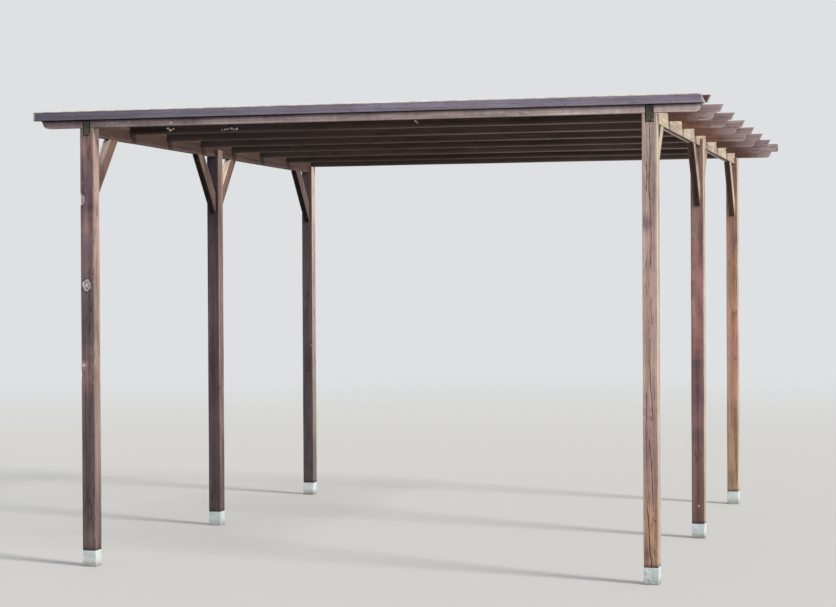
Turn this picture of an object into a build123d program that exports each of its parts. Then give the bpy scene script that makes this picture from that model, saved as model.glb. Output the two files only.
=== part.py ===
# Open timber pergola on six forked posts, with two beams, eight rafters and knee braces.
# Millimetres. +X to the right, +Y to the back, +Z up.
# The origin is on the ground, at the centre of the plan.

import os
from math import atan2, cos, sin

from build123d import *

# Plan
row_spacing = 3500.0  # left post row to right post row, centre to centre
bay_depth = 2205.0  # post to post along a row, centre to centre
rafter_overhang = 305.0  # rafter end past the outer face of the posts
rafter_count = 8

# Plinths
plinth_size = 90.0
plinth_height = 100.0
plinth_bevel = 5.0

# Posts
post_size = 90.0
post_length = 2620.0  # foot to the top of the fork's cheeks
cheek_height = 50.0  # fork cheeks above the floor of the housing

# Beams
beam_thickness = 45.0
beam_height = 95.0

# Rafters
rafter_thickness = 45.0
rafter_height = 95.0

# Shaped rafter ends
bevel_run = 20.0  # sloping cut under the top corner
bevel_rise = 43.0
step_run = 6.0  # small ledge between the slope and the ogee
ogee_run = 62.0

# Knee braces
brace_thickness = 45.0
brace_width = 95.0
brace_down = 410.0  # beam to the brace's lowest point on the post
brace_along = 350.0  # post to the brace's furthest point on the beam

# Fascia boards
fascia_thickness = 22.0
fascia_height = 60.0
fascia_rise = 12.0  # top edge of the boards above the tops of the rafters
fascia_setback = 26.0  # lower corner of the slanting end, short of the rafter's end
fascia_slant = 26.0  # how far the upper corner of that end leans back

# Fits and edges
housing_clearance = 0.5  # each side of a beam, in a fork or in a rafter's notch
arris_radius = 3.0

# Levels and lines that follow from the sizes above
housing_floor = plinth_height + post_length - cheek_height
beam_top = housing_floor + beam_height
rafter_bottom = plinth_height + post_length
rafter_top = rafter_bottom + rafter_height
housing_width = beam_thickness + 2 * housing_clearance
notch_depth = beam_top - rafter_bottom
frame_depth = 2 * bay_depth + post_size
front_face = -frame_depth / 2
rear_face = frame_depth / 2
rafter_length = row_spacing + post_size + 2 * rafter_overhang
rafter_spacing = (frame_depth - rafter_thickness) / (rafter_count - 1)
brace_slope = atan2(brace_down, brace_along)
brace_down_inner = brace_down - brace_width / cos(brace_slope)
brace_along_inner = brace_along - brace_width / sin(brace_slope)

rows = {"left": -row_spacing / 2, "right": row_spacing / 2}
lines = {"front": -bay_depth, "middle": 0.0, "rear": bay_depth}


def save(piece, node):
    piece.part.label = node
    export_step(piece.part, f"parts/{node}.step")


def make_plinth(x, y):
    with BuildPart() as plinth:
        with BuildSketch(Plane(origin=(x, y, 0))):
            Rectangle(plinth_size, plinth_size)
        extrude(amount=plinth_height)
        chamfer(plinth.faces().sort_by(Axis.Z)[-1].edges(), length=plinth_bevel)
    return plinth


def make_post(x, y):
    with BuildPart() as post:
        with BuildSketch(Plane(origin=(x, y, plinth_height))):
            RectangleRounded(post_size, post_size, arris_radius)
        extrude(amount=post_length)
        # The housing runs through the head from front to back and leaves two cheeks
        with BuildSketch(Plane(origin=(x, y, housing_floor))):
            Rectangle(housing_width, post_size)
        extrude(amount=cheek_height, mode=Mode.SUBTRACT)
    return post


def make_beam(x):
    end = Plane(origin=(x, rear_face, housing_floor), x_dir=(1, 0, 0), z_dir=(0, -1, 0))
    with BuildPart() as beam:
        with BuildSketch(end):
            with Locations((0, beam_height / 2)):
                RectangleRounded(beam_thickness, beam_height, arris_radius)
        extrude(amount=frame_depth)
    return beam


def make_rafter(y):
    side = Plane(origin=(0, y + rafter_thickness / 2, rafter_bottom), x_dir=(1, 0, 0), z_dir=(0, -1, 0))
    tip = rafter_length / 2
    ledge = rafter_height - bevel_rise
    ogee_start = tip - bevel_run - step_run
    ogee_end = ogee_start - ogee_run
    with BuildPart() as rafter:
        with BuildSketch(side):
            with BuildLine():
                Polyline(
                    (0, rafter_height),
                    (tip, rafter_height),
                    (tip - bevel_run, ledge),
                    (ogee_start, ledge),
                )
                # The ogee is hollow above and full below, and runs out into the underside
                middle = ((ogee_start + ogee_end) / 2, ledge / 2)
                hollow = TangentArc((ogee_start, ledge), middle, tangent=(-1, 0))
                TangentArc(middle, (ogee_end, 0), tangent=hollow % 1)
                Line((ogee_end, 0), (0, 0))
                mirror(about=Plane.YZ)
            make_face()
        extrude(amount=rafter_thickness)
        fillet(rafter.edges().filter_by(Axis.X).group_by(Axis.Z)[-1], radius=arris_radius)
        # A notch over each beam
        with BuildSketch(side):
            with Locations((rows["left"], notch_depth / 2), (rows["right"], notch_depth / 2)):
                Rectangle(housing_width, notch_depth)
        extrude(amount=rafter_thickness, mode=Mode.SUBTRACT)
    return rafter


def make_brace(x, y, toward):
    # toward is -1 for a brace that runs forward from its post, and 1 for one that runs back
    post_face = y + toward * post_size / 2
    side = Plane(origin=(x - brace_thickness / 2, post_face, housing_floor), x_dir=(0, 1, 0), z_dir=(1, 0, 0))
    with BuildPart() as brace:
        with BuildSketch(side):
            with BuildLine():
                Polyline(
                    (0, -brace_down),
                    (0, -brace_down_inner),
                    (toward * brace_along_inner, 0),
                    (toward * brace_along, 0),
                    close=True,
                )
            make_face()
        extrude(amount=brace_thickness)
        slanting = brace.edges().sort_by(SortBy.LENGTH)[-4:]
        fillet(slanting, radius=arris_radius)
    return brace


def make_fascia(y, outward):
    # outward is -1 for the front board and 1 for the rear one, which is the same board turned round
    bottom = rafter_top + fascia_rise - fascia_height
    face = Plane(origin=(0, y, bottom), x_dir=(-outward, 0, 0), z_dir=(0, outward, 0))
    near_end = -rafter_length / 2
    far_end = rafter_length / 2 - fascia_setback
    with BuildPart() as fascia:
        with BuildSketch(face):
            with BuildLine():
                Polyline(
                    (near_end, 0),
                    (far_end, 0),
                    (far_end - fascia_slant, fascia_height),
                    (near_end, fascia_height),
                    close=True,
                )
            make_face()
        extrude(amount=fascia_thickness)
    return fascia


os.makedirs("parts", exist_ok=True)

for row, x in rows.items():
    for line, y in lines.items():
        save(make_plinth(x, y), f"plinth_{line}_{row}")
        save(make_post(x, y), f"post_{line}_{row}")
    save(make_beam(x), f"beam_{row}")
    save(make_brace(x, lines["front"], 1), f"brace_front_{row}")
    save(make_brace(x, lines["middle"], -1), f"brace_middle_{row}_forward")
    save(make_brace(x, lines["middle"], 1), f"brace_middle_{row}_back")
    save(make_brace(x, lines["rear"], -1), f"brace_rear_{row}")

for number in range(rafter_count):
    rafter_line = front_face + rafter_thickness / 2 + number * rafter_spacing
    save(make_rafter(rafter_line), f"rafter_{number + 1}")

save(make_fascia(front_face, -1), "fascia_front")
save(make_fascia(rear_face, 1), "fascia_rear")
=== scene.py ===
# Looks of the open timber pergola: cracked and weathered timbers, screws and cast plinths.
# Metres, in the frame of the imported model: +X to the right, +Y to the back, +Z up.

import math
import zlib

import bmesh
import bpy
import numpy as np
from mathutils import Matrix, Vector


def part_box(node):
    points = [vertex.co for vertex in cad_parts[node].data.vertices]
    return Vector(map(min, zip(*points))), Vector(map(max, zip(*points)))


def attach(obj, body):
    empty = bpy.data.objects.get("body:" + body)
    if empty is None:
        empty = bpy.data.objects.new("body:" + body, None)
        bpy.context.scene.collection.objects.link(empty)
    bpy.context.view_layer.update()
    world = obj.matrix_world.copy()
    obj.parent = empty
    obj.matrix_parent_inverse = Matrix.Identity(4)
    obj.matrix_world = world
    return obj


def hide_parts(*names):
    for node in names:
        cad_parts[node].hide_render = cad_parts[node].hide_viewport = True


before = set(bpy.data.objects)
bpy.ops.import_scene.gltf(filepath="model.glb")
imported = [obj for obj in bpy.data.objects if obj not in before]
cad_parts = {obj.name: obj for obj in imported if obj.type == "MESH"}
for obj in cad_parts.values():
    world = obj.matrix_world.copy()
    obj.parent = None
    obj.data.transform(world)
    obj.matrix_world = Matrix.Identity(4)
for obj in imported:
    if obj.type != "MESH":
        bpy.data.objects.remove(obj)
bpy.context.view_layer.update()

# Camera, at the place and angle of the photograph
camera_place = (3.462, -13.913, 1.740)
camera_turn = math.radians(14.857)
camera_dip = math.radians(0.539)
camera_roll = math.radians(-0.307)
camera_lens = 87.63  # millimetres, with the usual sensor 36 mm wide
camera_clip = 400.0

# Light and surround
background = (0.86, 0.88, 0.90)
background_strength = 0.85
key_direction = (0.80, -0.28, 0.62)  # towards the lamp
key_strength = 3.6
key_spread = math.radians(14)
key_colour = (1.0, 0.95, 0.88)
floor_radius = 120.0
floor_fade = (7.0, 26.0)  # distances over which the floor runs out into the background

# Sections of a timber
station_step = 0.012  # from one section to the next
shaped_step = 0.0025  # the same, along a shaped end
closed_gap = 0.003  # half the space kept for a crack where it is closed
crack_offsets = (-1.0, -0.5, 0.05, 0.55, 1.0)
crack_depths = (0.0, 0.7, 1.0, 0.75, 0.0)
smooth_angle = math.radians(35)

# Housings for the beams
housing_gap = 0.0006  # each side of a beam, in a fork or a notch
mouth_gaps = {"beam_left": 0.0018, "beam_right": 0.0034}  # the same at the worn mouth of a housing
mouth_depth = 0.010
cutter_spare = 0.1  # how far a cutting box stands out past the timber

# What counts as what on a finished timber
cross_cut = 0.6  # a face with this share of its normal along the timber is cut across
end_zone = 0.02  # a cross-cut face nearer than this to an end of a timber is one of its ends
cap_corners = 8  # the face that closes an end has more corners than this
arris_width = 0.012  # how far from an arris wear reaches
bruise_start, bruise_run = 0.0022, 0.002  # a hollow shows bare wood from this depth, over this run
crack_start, crack_run = 0.002, 0.003  # the same for the dark inside of a crack
crack_clear = 0.012  # nearer to an arris than this, a hollow is a bruise
knot_reach = 6.0  # a face further than this many radii from a knot has none

faces = {"low": 0, "plus": 1, "high": 2, "minus": 3}
# Kinds of knot: still stained, ringed where the stain has flaked off, and plain bare wood
sound, flaked, scar = 1.0, 2.0, 3.0


def held(share):
    """Shares kept between 0 and 1."""
    return np.clip(share, 0, 1)


def taper(u, start, end, run):
    """1 between start and end, falling smoothly to 0 over one run inside each of them."""
    t = held(np.minimum((u - start) / run, (end - u) / run))
    return t * t * (3 - 2 * t)


def crack(face, place, start, end, width=0.003, depth=0.012, wander=0.05):
    """A drying crack: its face, its share across it, where it starts and ends, and its size."""
    return crack_line(face, ((start, place),), ((start, end, width),), depth, wander)


def crack_line(face, path, openings, depth=0.012, wander=0.02):
    """Cracks that follow one another along a face.

    path has places along the timber and shares across it. openings has starts, ends and widths."""
    return {"face": faces[face], "path": np.array(path), "openings": openings, "depth": depth,
            "wander": wander}


def knot(face, u, across, radius, kind=sound):
    """A knot: its face, its place along the timber and from the face's middle, and its radius."""
    return faces[face], u, across, radius, kind


class Stick:
    """A straight piece with a frame of its own: u along it, a across it and b up through it.

    Its faces are low and high, across b, and plus and minus, across a."""

    arris, arris_wear = 0.003, 0.0025
    wobble = 0.0012
    end_bevel = 0.002
    even_columns = 0
    pitted = False

    def __init__(self, node, origin, along, across, length, width, low, high, slants=(0.0, 0.0),
                 **settings):
        vars(self).update(settings)
        self.node = node
        self.rng = np.random.default_rng(zlib.crc32(node.encode()))
        self.origin, self.along, self.across = (np.array(v, float) for v in (origin, along, across))
        self.up = np.cross(self.along, self.across)
        self.length, self.width = length, width
        self.low, self.high = low, high
        self.slants = slants
        self.cracks, self.knots = [], []
        self.chips = []  # of each bruise: corner, counted from the low plus one, place, length and depth

    def wave(self, u, length, count=3):
        """A smooth random line between -1 and 1, with bends about one length apart."""
        total = np.zeros_like(u)
        for _ in range(count):
            bend, phase = length * self.rng.uniform(0.7, 1.6), self.rng.uniform(0, 2 * math.pi)
            total += np.sin(2 * math.pi * u / bend + phase)
        return total / count

    def stations(self, shaped=0.0):
        """Places of the sections along the piece, close together along shaped ends."""
        bevel = self.end_bevel
        middle = np.arange(max(shaped, bevel), self.length - max(shaped, bevel), station_step)
        start = np.concatenate(([0.0], np.arange(bevel, shaped, shaped_step)))
        end = self.length - start[::-1]
        return np.unique(np.round(np.concatenate((start, middle, end)), 5))

    def radii(self, u):
        """Radius of each arris along the piece, with its wear and its bruises."""
        out = []
        for corner in range(4):
            worn = 0.5 + 0.5 * self.wave(u, 0.35) * self.wave(u, 0.07)
            radius = self.arris + self.arris_wear * worn
            for hit, place, length, depth in self.chips:
                if hit == corner:
                    radius = radius + depth * np.exp(-((u - place) / length) ** 4)
            out.append(radius)
        return out

    def face_columns(self, face, u, size):
        """The columns of one face: shares of its flat part, and depths, stations by columns."""
        flat = np.zeros_like(u)
        places, depths = [], []

        def column(place, depth=flat):
            places.append(place)
            depths.append(depth)

        column(flat)
        left, at_arris = flat, True
        cracks = [c for c in self.cracks if c["face"] == face]
        for split in sorted(cracks, key=lambda c: c["path"][0, 1]):
            opening, width = flat, flat
            for start, end, widest in split["openings"]:
                share = taper(u, start, end, 0.3 * (end - start))
                opening, width = np.maximum(opening, share), np.maximum(width, widest * share)
            ragged = 0.8 + 0.2 * self.wave(u, 0.06)
            half = (width / 2 * ragged + closed_gap * (1 - opening)) / size
            centre = np.interp(u, split["path"][:, 0], split["path"][:, 1])
            centre = centre + split["wander"] * self.wave(u, 0.5) + 0.014 * self.wave(u, 0.1)
            right = centre - half
            for share in (0.1, 0.45, 0.8) if at_arris else (0.33, 0.67):
                column(left + share * (right - left))
            for offset, part in zip(crack_offsets, crack_depths):
                column(centre + offset * half, part * split["depth"] * opening * ragged)
            left, at_arris = centre + half, False
        if self.even_columns:
            shares = np.arange(1, self.even_columns) / self.even_columns
        else:
            shares = (0.06, 0.25, 0.5, 0.75, 0.94) if at_arris else (0.2, 0.55, 0.9)
        for share in shares:
            column(left + share * (1 - left))
        column(flat + 1)
        return np.stack(places, 1), np.stack(depths, 1)

    def outline(self, u):
        """The section at each station: a and b of the points round it, stations by points."""
        low, high = self.low(u), self.high(u)
        half = np.full_like(u, self.width / 2)
        starts = ((-half, low), (half, low), (half, high), (-half, high))
        runs = ((1, 0), (0, 1), (-1, 0), (0, -1))
        sizes = (2 * half, high - low) * 2
        bevel = self.end_bevel * (1 - held(np.minimum(u, self.length - u) / self.end_bevel))
        limit = 0.45 * np.minimum(2 * half, high - low)
        radii = [np.minimum(r, limit) for r in self.radii(u)]

        def dip():
            """How far one edge of a face lies inside the drawn section."""
            return np.minimum(bevel + self.wobble * (0.5 + 0.5 * self.wave(u, 0.8)), 0.3 * (high - low))

        first, last = zip(*[(dip(), dip()) for _ in range(4)])
        sides = []
        for f in range(4):
            inward = runs[(f + 1) % 4]
            begin = radii[f - 1] + last[f - 1]
            finish = sizes[f] - radii[f] - first[(f + 1) % 4]
            places, cuts = self.face_columns(f, u, np.maximum(finish - begin, 0.001))
            along = begin[:, None] + places * (finish - begin)[:, None]
            depth = first[f][:, None] * (1 - places) + last[f][:, None] * places + cuts
            if self.pitted:
                depth = depth + self.pits(f, u, along)
            a = starts[f][0][:, None] + runs[f][0] * along + inward[0] * depth
            b = starts[f][1][:, None] + runs[f][1] * along + inward[1] * depth
            sides.append((a, b))
        rounded_a, rounded_b = [], []
        for f in range(4):
            after = (f + 1) % 4
            inward, next_inward = runs[after], runs[(f + 2) % 4]
            corner = [starts[after][k] + inward[k] * last[f] + next_inward[k] * first[after]
                      for k in range(2)]
            for k, rounded in enumerate((rounded_a, rounded_b)):
                here, there = sides[f][k][:, -1], sides[after][k][:, 0]
                rounded.append(sides[f][k])
                for t in (1 / 3, 2 / 3):
                    curve = (1 - t) ** 2 * here + 2 * t * (1 - t) * corner[k] + t * t * there
                    rounded.append(curve[:, None])
        return np.hstack(rounded_a), np.hstack(rounded_b)

    def pits(self, face, u, along):
        """Air holes and roughness of a cast face."""
        rough = self.wave(u, 0.03)[:, None]
        rough = rough * self.wave(along.ravel(), 0.025).reshape(along.shape)
        depth = 0.0004 * (1 + rough)
        for _ in range(14):
            hole = self.rng.uniform((0.01, 0.01), (self.length - 0.01, self.width - 0.01))
            radius = self.rng.uniform(0.002, 0.005)
            reach = np.hypot(u[:, None] - hole[0], along - hole[1]) / radius
            depth = depth + 0.6 * radius * np.exp(-reach ** 4)
        return depth

    def local(self, points):
        """u, a and b of points."""
        offset = points - self.origin
        return offset @ self.along, offset @ self.across, offset @ self.up

    def mesh_object(self, u=None, kind="timber"):
        """The piece as an object, with sections at the places u and its two ends closed."""
        u = self.stations() if u is None else u
        a, b = self.outline(u)
        rows, columns = a.shape
        share = (u / self.length)[:, None]
        slant = (1 - share) * self.slants[0] + share * self.slants[1]
        u_of_points = (u[:, None] + slant * b).ravel()
        points = self.origin + np.outer(u_of_points, self.along) + np.outer(a, self.across)
        points += np.outer(b, self.up)
        grid = np.arange(rows * columns).reshape(rows, columns)
        after = np.roll(grid, -1, axis=1)
        quads = np.stack((grid[:-1], after[:-1], after[1:], grid[1:]), -1).reshape(-1, 4)
        ends = [grid[0][::-1].tolist(), grid[-1].tolist()]
        name = f"{self.node}_{kind}"
        mesh = bpy.data.meshes.new(name)
        mesh.from_pydata(points.tolist(), [], quads.tolist() + ends)
        return new_object(name, mesh)


def new_object(name, data):
    """An object in the scene."""
    made = bpy.data.objects.new(name, data)
    bpy.context.scene.collection.objects.link(made)
    return made


def new_mesh(name, built):
    """The mesh that a bmesh holds."""
    mesh = bpy.data.meshes.new(name)
    built.to_mesh(mesh)
    built.free()
    return mesh


def cut_boxes(piece, boxes):
    """Cuts boxes, given by their lowest and highest corners, out of a piece."""
    tool = bmesh.new()
    for low, high in boxes:
        middle, size = (Vector(low) + Vector(high)) / 2, Vector(high) - Vector(low)
        place = Matrix.Translation(middle) @ Matrix.Diagonal((*size, 1))
        bmesh.ops.create_cube(tool, size=1, matrix=place)
    cutter = new_object("cutter", new_mesh("cutter", tool))
    modifier = piece.modifiers.new("cut", "BOOLEAN")
    modifier.operation = "DIFFERENCE"
    modifier.solver = "EXACT"
    modifier.object = cutter
    bpy.context.view_layer.update()
    cut = piece.evaluated_get(bpy.context.evaluated_depsgraph_get())
    result = bpy.data.meshes.new_from_object(cut)
    piece.modifiers.clear()
    piece.data = result
    bpy.data.objects.remove(cutter)


def add_attribute(mesh, name, values, domain="CORNER"):
    values = np.asarray(values, np.float32)
    flat = values.ndim == 1
    layer = mesh.attributes.new(name, "FLOAT" if flat else "FLOAT_VECTOR", domain)
    layer.data.foreach_set("value" if flat else "vector", values.ravel())


def read(items, name, width=1, kind=float):
    """One property of each item, as an array."""
    values = np.empty(len(items) * width, kind)
    items.foreach_get(name, values)
    return values.reshape(-1, width) if width > 1 else values


def describe_surface(piece, stick, paint, worn, end_stain):
    """Writes what the timber materials read: grain, the stain with painted light and shade in it,
    knots, worn arrises, and cracks with painted shade in them.
    """
    mesh = piece.data
    points = read(mesh.vertices, "co", 3)
    u, a, b = stick.local(points)
    span = np.clip(u, 0, stick.length)
    low, high = stick.low(span), stick.high(span)
    below_faces = np.stack((b - low, stick.width / 2 - a, high - b, stick.width / 2 + a))
    near = below_faces.min(0)
    far = np.maximum(below_faces[0:3:2].min(0), below_faces[1:4:2].min(0))
    weights = np.exp((near - below_faces) / 0.002)
    outward = np.outer(weights[1] - weights[3], stick.across)
    outward += np.outer(weights[2] - weights[0], stick.up)
    outward /= np.maximum(np.linalg.norm(outward, axis=1), 1e-6)[:, None]
    heart = stick.rng.uniform(0.02, 0.09)
    turn = stick.rng.uniform(0, 2 * math.pi)
    grain = (u + 10 * stick.rng.uniform(), a + heart * math.cos(turn), b + heart * math.sin(turn))
    add_attribute(mesh, "grain", np.stack(grain, 1), "POINT")
    normals, middles = read(mesh.polygons, "normal", 3), read(mesh.polygons, "center", 3)
    sizes = read(mesh.polygons, "loop_total", kind=np.int32)
    vertex = read(mesh.loops, "vertex_index", kind=np.int32)
    middle_u, _, middle_b = stick.local(middles)
    from_end = np.minimum(middle_u - stick.slants[0] * middle_b,
                          stick.length + stick.slants[1] * middle_b - middle_u)
    ends = (np.abs(normals @ stick.along) > cross_cut) & (from_end < end_zone) & (sizes > cap_corners)
    at_end = np.repeat(ends, sizes)
    for name, values, end_value in (
            ("stain_and_light", paint(*points.T, *outward.T), end_stain),
            ("wear", worn * held(1 - (near + far) / arris_width), 0.0),
            ("bare", held((near - bruise_start) / bruise_run) * (far < crack_clear), 0.0),
            ("crack", held((near - crack_start) / crack_run) * (far >= crack_clear), 0.0)):
        values = values[vertex]
        values[at_end] = end_value
        add_attribute(mesh, name, values)
    knots = knot_field(stick, normals, middles, sizes, points[vertex])
    knots[at_end, 2] = 0
    add_attribute(mesh, "knot", knots)


def knot_field(stick, normals, middles, sizes, corners):
    """For each corner of each face, the way from the knot nearest to that face, in radii of the knot,
    and the knot's kind, or 0 where no knot is near."""
    towards_up, towards_across = normals @ stick.up, normals @ stick.across
    side = np.stack((-towards_up, towards_across, towards_up, -towards_across)).argmax(0)

    def on_side(points, which):
        u, a, b = stick.local(points)
        span = np.clip(u, 0, stick.length)
        return u, np.where(which % 2 == 0, a, b - (stick.low(span) + stick.high(span)) / 2)

    along, across = on_side(middles, side)
    nearest, best = np.zeros(len(side), np.int32), np.full(len(side), np.inf)
    for k, (face, place, aside, radius, _) in enumerate(stick.knots):
        reach = np.hypot(along - place, across - aside) / radius
        nearer = (side == face) & (reach < best)
        nearest[nearer], best[nearer] = k, reach[nearer]
    _, place, aside, radius, kind = np.array(stick.knots)[np.repeat(nearest, sizes)].T
    along, across = on_side(corners, np.repeat(side, sizes))
    kind = np.where(np.repeat(best < knot_reach, sizes), kind, 0)
    return np.stack(((along - place) / radius, (across - aside) / radius, kind), 1)


class Shader:
    """Short ways to lay out the nodes of one material."""

    def __init__(self, name):
        self.material = bpy.data.materials.new(name)
        self.material.use_nodes = True
        self.tree = self.material.node_tree
        self.tree.nodes.clear()
        self.surface = self.add("BsdfPrincipled")
        self.output = self.add("OutputMaterial", {"Surface": self.surface.outputs["BSDF"]})

    def add(self, kind, inputs=(), **settings):
        node = self.tree.nodes.new("ShaderNode" + kind)
        for key, value in settings.items():
            setattr(node, key, value)
        self.fill(node, inputs)
        return node

    def fill(self, node, inputs):
        """Links each input whose value comes from a node, and sets any other."""
        for key in inputs:
            socket, value = node.inputs[key], inputs[key]
            if isinstance(value, bpy.types.NodeSocket):
                self.tree.links.new(value, socket)
            else:
                socket.default_value = (*value, 1) if socket.type == "RGBA" else value

    def shade(self, inputs):
        """Puts values on the surface, and gives the material."""
        self.fill(self.surface, inputs)
        return self.material

    def attribute(self, name, output="Fac"):
        return self.add("Attribute", attribute_name=name).outputs[output]

    def math(self, operation, a, b=0.0, clamp=False):
        return self.add("Math", {0: a, 1: b}, operation=operation, use_clamp=clamp).outputs[0]

    def times(self, a, b):
        return self.math("MULTIPLY", a, b)

    def plus(self, a, b):
        return self.math("ADD", a, b)

    def length(self, a, b):
        return self.math("SQRT", self.plus(self.math("POWER", a, 2.0), self.math("POWER", b, 2.0)))

    def stretch(self, vector, factors):
        return self.add("VectorMath", {0: vector, 1: factors}, operation="MULTIPLY").outputs[0]

    def noise(self, vector, along, across, detail, roughness=0.55, distortion=0.0):
        """Noise with one scale along X and another across it."""
        inputs = {"Vector": self.stretch(vector, (along, across, across)), "Scale": 1.0,
                  "Detail": detail, "Roughness": roughness, "Distortion": distortion}
        return self.add("TexNoise", inputs).outputs["Fac"]

    def span(self, value, low, high, top=1.0, bottom=0.0):
        """Maps low..high to bottom..top with a smooth step, and holds it there outside."""
        inputs = {"Value": value, "From Min": low, "From Max": high, "To Min": bottom, "To Max": top}
        return self.add("MapRange", inputs, interpolation_type="SMOOTHSTEP").outputs["Result"]

    def mix(self, share, a, b, blend_type="MIX"):
        inputs = {0: share, 6: a, 7: b}
        return self.add("Mix", inputs, data_type="RGBA", blend_type=blend_type).outputs[2]

    def parts(self, vector):
        return self.add("SeparateXYZ", {0: vector}).outputs

    def bump(self, height, distance):
        inputs = {"Strength": 1.0, "Distance": distance, "Height": height}
        return self.add("Bump", inputs).outputs["Normal"]


def srgb(*display):
    """A colour given in display values from 0 to 255, as linear values."""
    shares = [value / 255 for value in display]
    return tuple(v / 12.92 if v < 0.04045 else ((v + 0.055) / 1.055) ** 2.4 for v in shares)


# Colours of timber without its stain, and of painted shade in cracks, as linear values
flaked_wood = (0.56, 0.51, 0.52)
scar_wood = (0.52, 0.47, 0.43)
worn_wood = (0.52, 0.43, 0.35)
bruised_wood = (0.53, 0.47, 0.41)
grey_wood = (0.25, 0.24, 0.24)
ring_tint = (0.30, 0.22, 0.19)
# Near black painted into cracks and other deep hollows away from arrises, as shade
crack_painted_shade = (0.010, 0.007, 0.006)
ring_width = 0.0065


def timber_material(name, contrast=1.0, end_grain=False):
    """Weathered stained softwood: streaks, growth rings, knots, worn arrises and cracks."""
    s = Shader(name)
    mix, span, times, plus = s.mix, s.span, s.times, s.plus
    stain_and_light = s.attribute("stain_and_light", "Vector")
    grain = s.attribute("grain", "Vector")
    _, across, up = s.parts(grain)

    def stained(red, green, blue):
        return s.stretch(stain_and_light, (red, green, blue))

    def noise(*settings):
        return s.noise(grain, *settings)

    fibres = noise(5.0, 330.0, 4.0, 0.65)
    streaks = noise(0.9, 46.0, 4.0, 0.6)
    blotches = noise(2.2, 9.0, 5.0, 0.65, 0.5)
    speckle = noise(60.0, 160.0, 3.0, 0.7)
    hairline = noise(2.6, 260.0, 1.0)
    smudges = noise(7.0, 24.0, 4.0, 0.6, 0.8)
    scuffs = noise(26.0, 95.0, 3.0, 0.6)
    uneven = noise(30.0, 48.0, 4.0, 0.65)
    drift = noise(1.3, 5.0, 2.0)

    # How far each point is from the nearest knot, in radii of the knot
    knots = s.parts(s.attribute("knot", "Vector"))
    knot_near, pale, plain = [s.math("GREATER_THAN", knots["Z"], kind - 0.5)
                              for kind in (sound, flaked, scar)]
    reach = s.length(times(knots["X"], 0.75), knots["Y"])
    reach = times(reach, plus(0.35, times(uneven, 1.3)))
    knot_core = times(knot_near, span(reach, 0.7, 1.05, 0.0, 1.0))
    knot_halo = times(knot_near, span(reach, 0.7, 3.0, 0.0, 1.0))

    # Growth rings round the heart of the log, which lies beside or inside the timber
    bent = plus(s.length(across, up), times(drift, 0.055))
    bent = plus(bent, times(knot_halo, 0.012))
    ring = span(s.math("SINE", times(bent, 2 * math.pi / ring_width)), -0.6, 1.0)

    # The stain, with its painted light and shade, from where it is still dark to where it has faded
    fading = plus(span(streaks, 0.32, 0.68, 0.5 * contrast), span(blotches, 0.32, 0.68, 0.5 * contrast))
    fading = s.math("ADD", fading, 0.66 - 0.5 * contrast, clamp=True)
    colour = mix(fading, stained(0.44, 0.38, 0.41), stained(1.30, 1.29, 1.28))
    colour = mix(span(fibres, 0.5, 0.75, 0.5), colour, stained(1.65, 1.7, 1.7))
    colour = mix(times(ring, 0.22), colour, ring_tint, "MULTIPLY")
    colour = mix(span(hairline, 0.70, 0.76, 0.6), colour, stained(0.22, 0.19, 0.19))
    colour = mix(span(speckle, 0.62, 0.75, 0.3), colour, stained(0.2, 0.18, 0.18))
    smudged = span(smudges, 0.57, 0.72, 0.62 * contrast)
    colour = mix(smudged, colour, stained(0.34, 0.29, 0.30))
    colour = mix(span(scuffs, 0.64, 0.72, 0.5), colour, stained(1.9, 1.95, 2.0))

    # Knots: a ringed heart in a thin dark rim, pale where the stain has flaked off
    phase = times(plus(reach, uneven), 9.0)
    knot_rings = span(s.math("SINE", phase), -0.2, 0.8, 0.8)
    ringed = times(s.math("SUBTRACT", 1.0, plain), knot_rings)
    broken = times(span(speckle, 0.38, 0.55, 1.0, 0.2), plus(0.55, times(pale, 0.45)))
    heart = mix(pale, mix(0.35, colour, stained(0.12, 0.10, 0.10)), flaked_wood)
    heart = mix(ringed, heart, colour)
    heart = mix(plain, heart, mix(0.55, stained(2.4, 2.5, 2.5), scar_wood))
    colour = mix(times(knot_core, broken), colour, heart)
    rim = times(span(reach, 0.75, 0.98), span(reach, 1.0, 1.25, 0.0, 1.0))
    rim = times(times(rim, knot_near), plus(0.2, times(pale, 0.4)))
    colour = mix(rim, colour, stained(0.16, 0.13, 0.13))

    # Worn arrises, bruises, faces turned up to the weather, and cracks with painted shade in them
    worn = times(s.attribute("wear"), span(speckle, 0.35, 0.62, 0.7, 0.245))
    colour = mix(worn, colour, mix(0.25, stained(1.9, 1.9, 1.8), worn_wood))
    colour = mix(times(s.attribute("bare"), 0.9), colour, bruised_wood)
    facing = s.parts(s.add("NewGeometry").outputs["Normal"])
    upward = times(span(facing["Z"], 0.5, 0.95), span(blotches, 0.3, 0.6, 0.85, 0.45))
    colour = mix(upward, colour, grey_wood)
    colour = mix(s.attribute("crack"), colour, crack_painted_shade)

    height = plus(times(fibres, 0.7), times(ring, 0.25))
    height = s.math("SUBTRACT", height, times(knot_core, 0.2))
    if end_grain:
        radial = noise(0.5, 90.0, 5.0, 0.7, 1.2)
        algae = noise(1.0, 40.0, 4.0, 0.6)
        colour = mix(span(radial, 0.35, 0.62, 0.0, 0.6), colour, stained(0.35, 0.34, 0.32))
        colour = mix(span(algae, 0.5, 0.7, 0.5), colour, stained(1.3, 1.45, 1.25))
        colour = mix(times(ring, 0.35), colour, stained(0.25, 0.24, 0.22))
        height = plus(height, radial)
    return s.shade({"Base Color": colour, "Roughness": span(fibres, 0.3, 0.7, 0.88, 0.62),
                    "Specular IOR Level": span(s.parts(stain_and_light)["X"], 0.002, 0.06, 0.3, 0.02),
                    "Normal": s.bump(height, 0.0012)})


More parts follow.
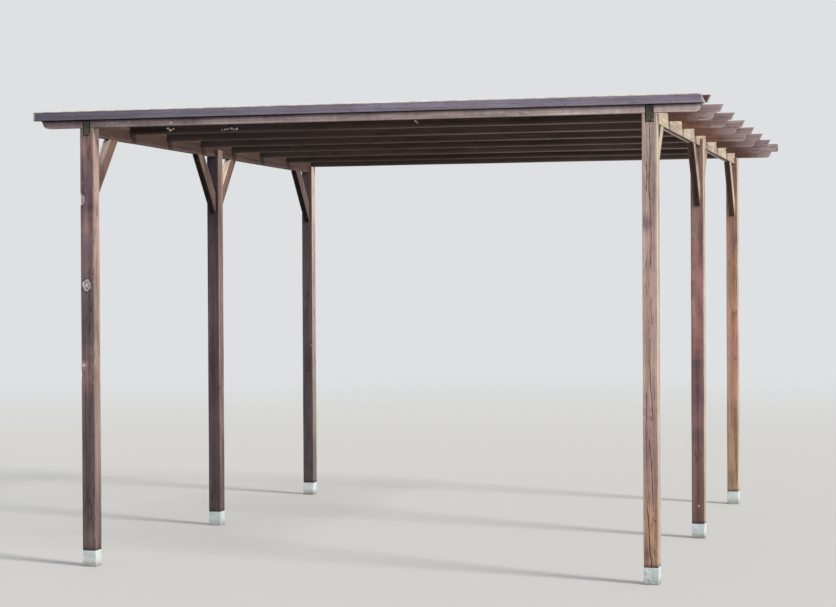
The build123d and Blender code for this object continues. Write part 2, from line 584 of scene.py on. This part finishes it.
def concrete_material():
    """Pale cast concrete, with air holes, hair-fine speckle and splashes of soil."""
    s = Shader("cast_concrete")
    place = s.add("TexCoord").outputs["Object"]
    cloud = s.noise(place, 9.0, 9.0, 5.0, 0.65)
    sand = s.noise(place, 420.0, 420.0, 2.0, 0.7)
    holes = s.noise(place, 130.0, 130.0, 2.0)
    colour = s.mix(s.span(cloud, 0.3, 0.7), srgb(176, 186, 190), srgb(214, 220, 220))
    colour = s.mix(s.span(sand, 0.5, 0.75, 0.45), colour, srgb(120, 122, 120))
    # Air holes painted darker, as shade in them
    colour = s.mix(s.span(holes, 0.66, 0.72, 0.6), colour, srgb(84, 84, 80))
    splashed = s.span(s.parts(place)["Z"], 0.0, 0.055, 0.0, 1.0)
    soil = s.times(splashed, s.span(cloud, 0.35, 0.62, 0.9, 0.35))
    colour = s.mix(soil, colour, srgb(112, 106, 84))
    relief = s.math("SUBTRACT", s.times(sand, 0.6), s.span(holes, 0.64, 0.72))
    return s.shade({"Base Color": colour, "Roughness": 0.9, "Normal": s.bump(relief, 0.0008)})


def screw_material():
    """Zinc-plated steel with rust coming through."""
    s = Shader("weathered_zinc")
    rust = s.noise(s.add("TexCoord").outputs["Object"], 220.0, 220.0, 4.0, 0.7)
    colour = s.mix(s.span(rust, 0.36, 0.54), srgb(112, 106, 98), srgb(74, 46, 34))
    return s.shade({"Base Color": colour, "Metallic": s.span(rust, 0.36, 0.54, 0.05, 0.6),
                    "Roughness": s.span(rust, 0.4, 0.6, 0.85, 0.45), "Normal": s.bump(rust, 0.0002)})


def blend(share, first, second):
    """Mixes two colours, or two sets of colours, with a share from 0 to 1 for each point."""
    share = held(share)[:, None]
    return (1 - share) * np.asarray(first) + share * np.asarray(second)


# Stains, cut wood and what grows or gathers on them, some also used as painted shade,
# shadow and highlight
damp_and_shade_dark = srgb(48, 38, 36)
beam_end = srgb(84, 81, 72)
cut_end = srgb(96, 80, 72)
worn_arris_and_highlight = srgb(196, 178, 168)
overhang_stain = srgb(146, 129, 131)
moss = srgb(94, 97, 82)
lichen = srgb(214, 213, 204)
shadow_black = srgb(16, 11, 15)

# Shades that the stain takes in patches
rosy = srgb(138, 112, 108)
mauve = srgb(100, 79, 90)
dark_grey_brown = srgb(78, 67, 70)
peeled = srgb(182, 158, 150)
milky = srgb(150, 126, 126)
ochre = srgb(170, 134, 104)
muddy = srgb(110, 92, 80)
brick = srgb(156, 116, 112)
umber = srgb(92, 68, 60)


def box_of(node):
    """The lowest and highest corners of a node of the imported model, its middle and its size."""
    low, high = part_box(node)
    return low, high, (low + high) / 2, high - low


def corners_of(node):
    return read(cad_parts[node].data.vertices, "co", 3)


def constant(value):
    return lambda u: np.full_like(u, value)


def upright(node, **settings):
    """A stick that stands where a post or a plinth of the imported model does."""
    low, _, centre, size = box_of(node)
    return Stick(node, (centre.x, centre.y, low.z), (0, 0, 1), (1, 0, 0), size.z, size.x,
                 constant(-size.y / 2), constant(size.y / 2), **settings)


def finish_timber(piece, stick, slot, paint, worn, end_stain=cut_end):
    """Gives a timber its surface, its materials and its place in the frame."""
    describe_surface(piece, stick, paint, worn, end_stain)
    for material in timbers[slot]:
        piece.data.materials.append(material)
    cut_across = np.abs(read(piece.data.polygons, "normal", 3) @ stick.along) > cross_cut
    piece.data.polygons.foreach_set("material_index", cut_across.astype(np.int32))
    settle(piece, stick.node)


def settle(piece, node):
    """Shades a piece and lets it stand for its node."""
    piece.data.polygons.foreach_set("use_smooth", np.ones(len(piece.data.polygons), bool))
    piece.data.set_sharp_from_angle(angle=smooth_angle)
    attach(piece, "root")
    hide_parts(node)


def random_cracks(stick, count, longest):
    """Fine drying cracks, at most one on each face that has none."""
    draw = stick.rng.uniform
    taken = {c["face"] for c in stick.cracks}
    free = [name for name in faces if faces[name] not in taken]
    for name in list(stick.rng.permutation(free))[:count]:
        size = draw(0.3, 1.0) * longest
        start = draw(-0.1, stick.length - 0.6 * size)
        stick.cracks.append(crack(name, draw(0.35, 0.65), start, start + size, draw(0.0016, 0.0034),
                                  draw(0.006, 0.012)))


def random_knots(stick, spacing, span):
    """Knots spread along all four faces."""
    draw = stick.rng.uniform
    for name in faces:
        u = draw(0.1, spacing)
        while u < stick.length - 0.06:
            if all(abs(u - other[1]) > 0.12 for other in stick.knots if other[0] == faces[name]):
                across = draw(-0.3, 0.3) * span
                stick.knots.append(knot(name, u, across, draw(0.006, 0.014)))
            u += draw(0.6, 1.5) * spacing


def housing(beam, low_z, high_z, low_y, high_y, shut):
    """The boxes that a beam's housing takes out of a post or a rafter, wider at its two mouths.

    shut is -1 for a housing that is closed below and 1 for one that is closed above."""
    low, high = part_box(beam)
    gap = mouth_gaps[beam]
    front, rear = low_y - cutter_spare, high_y + cutter_spare
    boxes = [((low.x - housing_gap, front, low_z), (high.x + housing_gap, rear, high_z))]
    lowest = low_z - (gap if shut == -1 else 0)
    highest = high_z + (gap if shut == 1 else 0)
    for start, end in ((front, low_y + mouth_depth), (high_y - mouth_depth, rear)):
        boxes.append(((low.x - gap, start, lowest), (high.x + gap, end, highest)))
    return boxes


# A pale cream for sunny sides: bleached wood, with painted sunlight on it
sunlit_cream = (172, 158, 140)
# The stain on each post, as display values, with light and shade painted in: near its foot, at its
# middle, near its head, and on its sunny side. The left posts are darker partly from painted shade,
# and the sunny sides lighter partly from painted sunlight.
post_stain_and_light = {
    "post_front_left": ((78, 66, 68), (98, 82, 85), (120, 97, 96), (150, 128, 120)),
    "post_front_right": ((146, 119, 101), (172, 147, 138), (160, 140, 134), (166, 155, 141)),
    "post_middle_left": ((72, 60, 64), (78, 64, 69), (52, 44, 50), (128, 106, 98)),
    "post_middle_right": ((106, 83, 78), (118, 88, 89), (132, 102, 100), sunlit_cream),
    "post_rear_left": ((76, 66, 68), (78, 67, 70), (66, 54, 55), (166, 148, 137)),
    "post_rear_right": ((152, 127, 104), (166, 130, 111), (142, 107, 98), sunlit_cream),
}
# What each post is known by. Knots and patches are on the front face. A patch has its place up the post
# and across it, half its length and width, its shade and its strength.
post_marks = {
    "post_front_left": {
        "cracks": [crack("plus", 0.55, 0.15, 1.6), crack("low", 0.30, 0.25, 1.1, 0.0025, 0.010)],
        "knots": [(1.645, -0.006, 0.032, flaked), (2.175, -0.045, 0.034, scar),
                  (2.05, 0.02, 0.008), (1.15, -0.03, 0.010, scar)],
        "chips": [(3, 2.175, 0.036, 0.015), (3, 1.09, 0.018, 0.008), (0, 2.52, 0.03, 0.005)],
        "patches": [(2.49, 0, 0.05, 0.06, rosy, 0.8), (2.25, 0, 0.12, 0.05, mauve, 0.8),
                    (2.13, 0.02, 0.035, 0.03, dark_grey_brown, 0.8), (2.01, -0.012, 0.07, 0.03, rosy, 0.7),
                    (1.86, 0, 0.08, 0.03, mauve, 0.6), (1.41, 0, 0.20, 0.06, dark_grey_brown, 0.8),
                    (1.10, -0.005, 0.11, 0.06, rosy, 0.85), (1.15, -0.024, 0.025, 0.014, peeled, 0.7),
                    (0.55, 0, 0.30, 0.06, dark_grey_brown, 0.95), (0.08, 0, 0.07, 0.06, muddy, 0.5)],
    },
    "post_front_right": {
        "cracks": [
            crack_line("low", ((0.0, 0.50), (0.13, 0.38), (0.22, 0.35), (0.30, 0.29), (0.39, 0.18),
                               (0.6, 0.16), (1.4, 0.24), (2.2, 0.27), (2.62, 0.26)),
                       ((-0.35, 0.42, 0.0068), (0.84, 1.02, 0.0024), (1.55, 1.80, 0.0024),
                        (2.16, 2.34, 0.0030)), 0.018),
            crack_line("low", ((0.0, 0.74), (0.33, 0.70), (0.42, 0.63), (0.50, 0.58), (0.62, 0.51),
                               (0.74, 0.42), (0.80, 0.50), (0.86, 0.65), (0.96, 0.59), (1.05, 0.51),
                               (1.17, 0.45), (1.31, 0.48), (1.41, 0.64), (1.53, 0.57), (1.73, 0.54),
                               (1.88, 0.60), (2.04, 0.56), (2.22, 0.45), (2.39, 0.55), (2.48, 0.51),
                               (2.62, 0.44)),
                       ((0.31, 0.42, 0.0034), (0.38, 0.78, 0.0050), (0.82, 1.20, 0.0046),
                        (1.15, 1.34, 0.0038), (1.39, 1.56, 0.0034), (1.69, 2.14, 0.0040),
                        (2.03, 2.80, 0.0046)), 0.016)],
        "knots": [(0.79, -0.010, 0.009), (0.60, 0.012, 0.008),
                  (1.62, -0.026, 0.008)],
        "chips": [(3, 0.03, 0.03, 0.006)],
        "patches": [(1.985, -0.018, 0.055, 0.03, mauve, 0.75), (1.76, -0.01, 0.07, 0.03, milky, 0.7),
                    (0.68, 0, 0.26, 0.07, rosy, 0.85), (0.24, 0.012, 0.13, 0.03, ochre, 0.7),
                    (0.07, -0.024, 0.06, 0.014, umber, 0.75)],
    },
    "post_middle_right": {
        "knots": [(0.12, 0.004, 0.008, scar), (1.75, -0.018, 0.009),
                  (0.93, 0, 0.014), (0.45, 0.006, 0.012)],
        "patches": [(1.58, 0, 0.40, 0.07, brick, 0.9), (2.03, 0, 0.11, 0.07, rosy, 0.8),
                    (1.59, -0.036, 0.07, 0.012, umber, 0.7), (1.08, -0.006, 0.06, 0.036, dark_grey_brown, 0.6),
                    (0.86, 0.01, 0.10, 0.03, mauve, 0.7), (0.60, -0.01, 0.06, 0.036, dark_grey_brown, 0.7)],
    },
    "post_rear_left": {
        "knots": [(1.165, 0.028, 0.008), (1.140, 0.030, 0.006, scar)],
    },
    "post_rear_right": {
        "patches": [(1.98, 0, 0.10, 0.07, brick, 0.7), (1.78, 0, 0.08, 0.05, ochre, 0.6),
                    (1.13, 0, 0.12, 0.06, brick, 0.6), (0.10, -0.01, 0.07, 0.04, muddy, 0.5)],
    },
}
damp_height = 0.026


def make_post(node, beam):
    low, high, centre, size = box_of(node)
    stick = upright(node)
    marks = post_marks.get(node, {})
    stick.cracks.extend(marks.get("cracks", []))
    stick.chips.extend(marks.get("chips", []))
    stick.knots.extend(knot("low", *row) for row in marks.get("knots", []))
    random_cracks(stick, 3, 1.8)
    random_knots(stick, 0.8, size.x)
    piece = stick.mesh_object()
    beam_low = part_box(beam)[0]
    for box in housing(beam, beam_low.z, high.z + cutter_spare, low.y, high.y, -1):
        cut_boxes(piece, [box])
    foot, waist, head, sunlit_and_bleached = [srgb(*shade) for shade in post_stain_and_light[node]]
    right = centre.x > 0

    def paint(x, y, z, out_x, out_y, out_z):
        above_foot = z - low.z
        up = above_foot / size.z
        colour = blend((up - 0.55) / 0.4, blend(up / 0.35, foot, waist), head)
        # The sunny side: bleached wood, with painted sunlight on it
        bleached_and_lit = blend((0.2 if right else 0.8) * (1 - up / 0.6), sunlit_and_bleached, foot)
        colour = blend(out_x * 1.4, colour, bleached_and_lit)
        # The side turned away from the light is painted a fifth darker, as shade
        colour = blend(-out_x, colour, colour * 0.8)
        for u, across, half_length, half_width, shade, strength in marks.get("patches", []):
            reach = np.hypot((above_foot - u) / half_length, (x - centre.x - across) / half_width)
            reach = reach * (1 + 0.25 * stick.wave(z, 0.07))
            share = strength * np.exp(-reach ** 3) * held(-1.4 * out_y)
            colour = blend(share, colour, shade)
        ragged = 0.006 * stick.wave(x + y, 0.04)
        damp = held(1 - (above_foot + ragged) / damp_height)
        if node == "post_front_left":
            outer = (beam_low.x - x) / 0.01 * (z > beam_low.z - 0.01)
            colour = blend(0.9 * held(outer), colour, moss)
        return blend(0.9 * damp, colour, damp_and_shade_dark)

    finish_timber(piece, stick, "post_timber", paint, 0.9 if right else 0.45)


def make_beam(node):
    low, high, centre, size = box_of(node)
    stick = Stick(node, (centre.x, low.y, low.z), (0, 1, 0), (-1, 0, 0), size.y, size.x,
                  constant(0.0), constant(size.z), end_bevel=0.004)
    random_cracks(stick, 3, 1.6)
    random_knots(stick, 0.9, size.x)
    piece = stick.mesh_object()
    right = centre.x > 0
    stain_and_light = (sunlit_cream, (96, 80, 70)) if right else ((61, 43, 37), (68, 51, 46))
    sunlit_and_bleached, shady = [srgb(*shade) for shade in stain_and_light]

    def paint(x, y, z, out_x, out_y, out_z):
        # The right beam's sunny side is cream, partly painted sunlight; the left beam is painted dark as
        # shade, and undersides are painted towards the darker colour as shade
        colour = blend(0.5 + 0.7 * out_x, shady, sunlit_and_bleached)
        colour = blend(-out_z * 0.6, colour, shady)
        # The right beam's underside is darker at its outer edge and lighter at its inner one
        if right:
            inner = (centre.x - x) / 0.012 + 0.5
            edge = blend(inner, srgb(62, 50, 44), srgb(176, 158, 142))
            colour = blend(-out_z * 1.2, colour, edge)
        # Ends darkened: damp end grain, with painted shade in the gap round the housing
        from_end = np.minimum(y - low.y, high.y - y)
        return blend(1.2 - from_end / 0.004, colour, damp_and_shade_dark)

    finish_timber(piece, stick, "beam_timber", paint, 0.8, beam_end)


# Bare marks on the front faces of two rafters: place along X, height from the middle, and radius
rafter_scars = {
    "rafter_1": [(-1.579, -0.020, 0.008), (-1.466, -0.016, 0.006), (-1.190, -0.029, 0.010),
                 (1.229, -0.024, 0.006)],
    "rafter_2": [(-1.465, -0.012, 0.008), (-1.448, -0.024, 0.009), (-1.427, -0.017, 0.006),
                 (-1.095, -0.030, 0.005), (-1.074, -0.028, 0.007), (-1.054, -0.027, 0.008),
                 (-1.030, -0.023, 0.008), (-1.013, -0.030, 0.006), (-0.994, -0.027, 0.008),
                 (0.189, -0.007, 0.007), (0.202, -0.017, 0.007)],
}


def make_rafter(node):
    low, high, centre, size = box_of(node)
    beams = [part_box(beam) for beam in mouth_gaps]
    beam_outer = beams[1][1].x
    x, _, z = corners_of(node).T
    x = x.round(4)
    places = np.unique(x[x > beam_outer + 0.1])  # sections of the shaped end
    rises = [z[x == place].min() - low.z for place in places]

    def underside(u):
        return np.interp(np.abs(u + low.x), places, rises, left=0.0)

    stick = Stick(node, (low.x, centre.y, low.z), (1, 0, 0), (0, 1, 0), size.x, size.y,
                  underside, constant(size.z), wobble=0.001)
    random_cracks(stick, 2, 1.4)
    random_knots(stick, 0.7, size.z * 0.7)
    for x, across, radius in rafter_scars.get(node, []):
        stick.knots.append(knot("minus", x - low.x, across, radius, scar))
    piece = stick.mesh_object(stick.stations(shaped=high.x - places[0]))
    notches = [housing(beam, low.z - cutter_spare, box[1].z, low.y, high.y, 1)
               for beam, box in zip(mouth_gaps, beams)]
    for pair in zip(*notches):
        cut_boxes(piece, pair)
    fascia_low, fascia_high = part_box("fascia_front")
    shadow_line = fascia_low.z - 0.010
    covered = fascia_high.x - 0.028
    reddish = srgb(86, 58, 48) if stick.rng.uniform() < 0.4 else srgb(104, 72, 60)
    tone = stick.rng.uniform(0.75, 1.2)
    edge_wear = stick.rng.uniform(0.2, 0.8)

    def front_face(x, z):
        """The front of the first rafter, lighter towards the right, with painted shadow under the fascia
        board.
        """
        face = blend((x + 1.8) / 1.55, srgb(114, 100, 104), srgb(174, 155, 155))
        face = blend(x / 1.4, face, srgb(188, 170, 168))
        streaky = 0.14 * stick.wave(x + 4 * z, 0.3) + 0.10 * stick.wave(x, 0.05)
        face = face * (1 + streaky)[:, None]
        shadow = held((z - shadow_line) / 0.003) * (x < covered)
        return blend(shadow, blend((x - covered) / 0.01, face, srgb(86, 64, 64)), shadow_black)

    def paint(x, y, z, out_x, out_y, out_z):
        overhang = (np.abs(x) - beam_outer) / (high.x - beam_outer)
        # Overhang: a darker reddish next to the beam, partly painted shade, paling to the weathered tips
        outside = blend((overhang - 0.3) / 0.5, reddish, overhang_stain)
        # Between the beams the rafters are painted near black: dark stain with painted shade on it; the
        # tops of their front faces, hidden from the front, stay a plain brown
        inside = blend((x - beams[0][0].x) / 3.0, srgb(40, 32, 30), srgb(46, 34, 32))
        inside = blend((z - low.z - 0.060) / 0.028, inside, srgb(90, 71, 64))
        inside = blend(out_y, inside, srgb(92, 72, 65))
        # Undersides lighter towards the right, partly painted light
        underneath = blend((x + 0.5) / 2.6, srgb(60, 47, 44), srgb(146, 124, 118))
        inside = tone * blend(-out_z, inside, underneath)
        colour = blend(overhang / 0.04 + 1, inside, outside)
        if node == "rafter_1":
            colour = blend(-out_y * 1.5, colour, front_face(x, z))
        above_cut = z - low.z - underside(x - low.x)
        cut_edge = (1.3 - above_cut / 0.006) * (overhang > 0.55) * (out_y < -0.15)
        return blend(edge_wear * held(cut_edge), colour, worn_arris_and_highlight)

    finish_timber(piece, stick, "rafter_timber", paint, 0.6)


# The same for the side and the upper and lower face of the braces of each row, and of three braces,
# with light and shade painted in: sunlit sides and upper faces lighter, shaded faces darker
brace_stain_and_light = {
    "right": (sunlit_cream, (20, 15, 13), (74, 51, 43)),
    "left": ((108, 86, 78), (160, 138, 126), (34, 28, 26)),
    "brace_front_left": ((110, 86, 76), (150, 133, 131), (34, 28, 26)),
    "brace_middle_left_back": ((104, 82, 74), (204, 186, 168), (34, 28, 26)),
    "brace_rear_left": ((84, 70, 64), (160, 138, 126), (34, 28, 26)),
}


def brace_line(node):
    """A brace's foot at its post, the way along its lower edge, and its inner upper corner."""
    corners = corners_of(node)
    low, high = corners.min(0), corners.max(0)
    top = corners[corners[:, 2] > high[2] - 1e-4]
    forward = abs(top[:, 1] - low[1]).min() <= 0.1
    post_y, beam_y = (high[1], low[1]) if forward else (low[1], high[1])
    foot = np.array(((low[0] + high[0]) / 2, post_y, low[2]))
    inner = top[np.argmin(abs(top[:, 1] - post_y))]
    return foot, np.array((0, beam_y - post_y, high[2] - low[2])), inner


def make_brace(node, row):
    foot, way, inner = brace_line(node)
    length, thickness = math.hypot(*way), box_of(node)[3].x
    along = way / length
    across = np.array((-1 if way[1] > 0 else 1, 0, 0))
    up = np.cross(along, across)
    depth = (inner - foot) @ up
    stick = Stick(node, foot, along, across, length, thickness, constant(min(0.0, depth)),
                  constant(max(0.0, depth)), (-up[1] / along[1], -up[2] / along[2]),
                  arris=0.002, arris_wear=0.0018)
    random_cracks(stick, 1, 0.5)
    random_knots(stick, 0.6, thickness)
    piece = stick.mesh_object()
    stain_and_light = brace_stain_and_light.get(node, brace_stain_and_light[row])
    side, sky_face, ground_face = [srgb(*shade) for shade in stain_and_light]
    pale_edge = foot[0] - thickness / 2 + 0.010

    def paint(x, y, z, out_x, out_y, out_z):
        sky = sky_face
        if row == "left":
            # Painted sunlight pales the upper face towards its top, with a painted highlight along its
            # edge
            sky = blend(0.3 - 0.5 * (z - foot[2]) / way[2], sky_face, side)
            sky = blend(0.8 * held((pale_edge - x) / 0.004), sky, worn_arris_and_highlight)
        # Upper faces take their row's painted light and shade; lower faces are darker, partly painted
        # shade
        colour = blend(out_z * 3, side, sky)
        return blend(-out_z * 1.8, colour, ground_face)

    finish_timber(piece, stick, "beam_timber", paint, 0.3)


def make_fascia(node):
    low, high, centre, size = box_of(node)
    corners = corners_of(node)
    top = corners[corners[:, 2] > high.z - 1e-4]
    slants = (top[:, 0].min() - low.x) / size.z, (top[:, 0].max() - high.x) / size.z
    stick = Stick(node, (low.x, centre.y, low.z), (1, 0, 0), (0, 1, 0), size.x, size.y,
                  constant(0.0), constant(size.z), slants,
                  arris=0.0015, arris_wear=0.002, wobble=0.0008, even_columns=16)
    random_knots(stick, 0.8, size.z * 0.7)
    piece = stick.mesh_object()

    def paint(x, y, z, out_x, out_y, out_z):
        up = z - low.z
        colour = blend((x + 2.1) / 2.2, srgb(86, 85, 98), srgb(124, 117, 133))
        edge = 0.006 + 0.002 * stick.wave(x, 0.12) + 0.001 * stick.wave(x, 0.03)
        colour = blend((up - size.z + edge) / 0.002 + 1, colour, lichen)
        colour = blend((0.004 - up) / 0.003, colour, shadow_black)
        if node == "fascia_rear":
            return blend((out_x - out_y) * 1.5, colour, overhang_stain)
        from_end = np.minimum(x - low.x - slants[0] * up, high.x + slants[1] * up - x)
        end_edge = 0.007 + 0.003 * stick.wave(z, 0.02)
        return blend(1.3 - from_end / end_edge, colour, lichen)

    finish_timber(piece, stick, "fascia_timber", paint, 0.4)


def make_plinth(node):
    stick = upright(node, arris_wear=0.004, wobble=0.0008, end_bevel=0.004, even_columns=26,
                    pitted=True)
    for _ in range(2):
        corner, u = stick.rng.integers(4), stick.rng.uniform(0.02, 0.09)
        stick.chips.append((corner, u, 0.012, 0.007))
    middle = np.linspace(stick.end_bevel, stick.length - stick.end_bevel, 36)
    piece = stick.mesh_object(np.concatenate(([0.0], middle, [stick.length])), "cast")
    piece.data.materials.append(concrete)
    settle(piece, node)


# A domed screw head: radius and height of each ring, and the middle of its recess
screw_rings = ((0.0052, -0.0006), (0.0052, 0.0004), (0.0044, 0.0013), (0.0026, 0.0018))
screw_recess = 0.0008
screw_sides = 16
screw_sink = 0.0018  # how far below the fascia board's flat face, which is worn, the heads sit


def add_screw(mesh, place, outward):
    turn = Vector(outward).to_track_quat("Z", "Y")

    def point(radius, angle, rise):
        around = Vector((radius * math.cos(angle), radius * math.sin(angle), rise))
        return mesh.verts.new(Vector(place) + turn @ around)

    angles = [2 * math.pi * k / screw_sides for k in range(screw_sides)]
    loops = [[point(radius, angle, rise) for angle in angles] for radius, rise in screw_rings]
    middle = point(0, 0, screw_recess)
    for k in range(screw_sides):
        after = (k + 1) % screw_sides
        for outer, inner in zip(loops, loops[1:]):
            mesh.faces.new((outer[k], outer[after], inner[after], inner[k]))
        mesh.faces.new((loops[-1][k], loops[-1][after], middle))
    mesh.faces.new(loops[0][::-1])


def make_screws(zinc):
    """Screws through the braces into posts and beams, and along the fascia boards."""
    mesh = bmesh.new()
    for node in sorted(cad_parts):
        if node.startswith("brace"):
            foot, way, _ = brace_line(node)
            outward = math.copysign(1, way[1]) * np.array((0, way[2], -way[1]))
            for share, aside in ((0.12, 0.009), (0.2, -0.009), (0.82, -0.009), (0.9, 0.009)):
                add_screw(mesh, foot + way * share + (aside, 0, 0), outward)
        if node.startswith("fascia"):
            low, high, centre, size = box_of(node)
            side = math.copysign(1, centre.y)
            face = (high.y if side > 0 else low.y) - side * screw_sink
            for x in np.linspace(low.x + 0.12, high.x - 0.16, 7):
                for z in (low.z + 0.014, high.z - 0.014):
                    add_screw(mesh, (x, face, z), (0, side, 0))
    piece = new_object("screws", new_mesh("screws", mesh))
    piece.data.materials.append(zinc)
    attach(piece, "root")


def make_floor():
    """A pale floor that runs out into the background."""
    disc = bmesh.new()
    bmesh.ops.create_circle(disc, cap_ends=True, segments=96, radius=floor_radius)
    floor = new_object("floor", new_mesh("floor", disc))
    s = Shader("pale_floor")
    place = s.parts(s.add("TexCoord").outputs["Object"])
    s.shade({"Base Color": (0.46, 0.46, 0.45), "Roughness": 0.9})
    glow = s.add("Emission", {"Color": background, "Strength": background_strength}).outputs[0]
    far = s.span(s.length(place["X"], place["Y"]), *floor_fade)
    fade = s.add("MixShader", {0: far, 1: s.surface.outputs[0], 2: glow})
    s.fill(s.output, {"Surface": fade.outputs[0]})
    floor.data.materials.append(s.material)


def light_scene():
    """Soft studio light: a broad key from the front right, and a pale surround."""
    world = bpy.data.worlds.new("surround")
    world.use_nodes = True
    surround = world.node_tree.nodes["Background"]
    surround.inputs["Color"].default_value = (*background, 1)
    surround.inputs["Strength"].default_value = background_strength
    bpy.context.scene.world = world
    key = bpy.data.lights.new("key", "SUN")
    key.energy = key_strength
    key.angle = key_spread
    key.color = key_colour
    lamp = new_object("key", key)
    lamp.rotation_euler = Vector(key_direction).to_track_quat("Z", "Y").to_euler()


def set_camera():
    data = bpy.data.cameras.new("camera")
    data.lens = camera_lens
    data.clip_end = camera_clip
    camera = new_object("camera", data)
    facing = Matrix.Rotation(camera_turn, 4, "Z") @ Matrix.Rotation(math.pi / 2 - camera_dip, 4, "X")
    facing = facing @ Matrix.Rotation(camera_roll, 4, "Z")
    camera.matrix_world = Matrix.Translation(camera_place) @ facing
    bpy.context.scene.camera = camera


timbers = {}  # the side-grain and the end-grain material of each slot
for kind, contrast in (("post", 1.2), ("beam", 1.1), ("rafter", 1.2), ("fascia", 0.7)):
    timbers[kind + "_timber"] = (timber_material(kind + "_wood", contrast),
                                 timber_material(kind + "_wood_end", contrast, end_grain=True))
concrete = concrete_material()

for row in ("left", "right"):
    for line in ("front", "middle", "rear"):
        make_plinth(f"plinth_{line}_{row}")
        make_post(f"post_{line}_{row}", f"beam_{row}")
    make_beam(f"beam_{row}")
    for place in (f"front_{row}", f"middle_{row}_forward", f"middle_{row}_back", f"rear_{row}"):
        make_brace("brace_" + place, row)
for number in range(1, 9):
    make_rafter(f"rafter_{number}")
make_fascia("fascia_front")
make_fascia("fascia_rear")
make_screws(screw_material())

make_floor()
light_scene()
set_camera()
bpy.context.scene.view_settings.view_transform = "Standard"
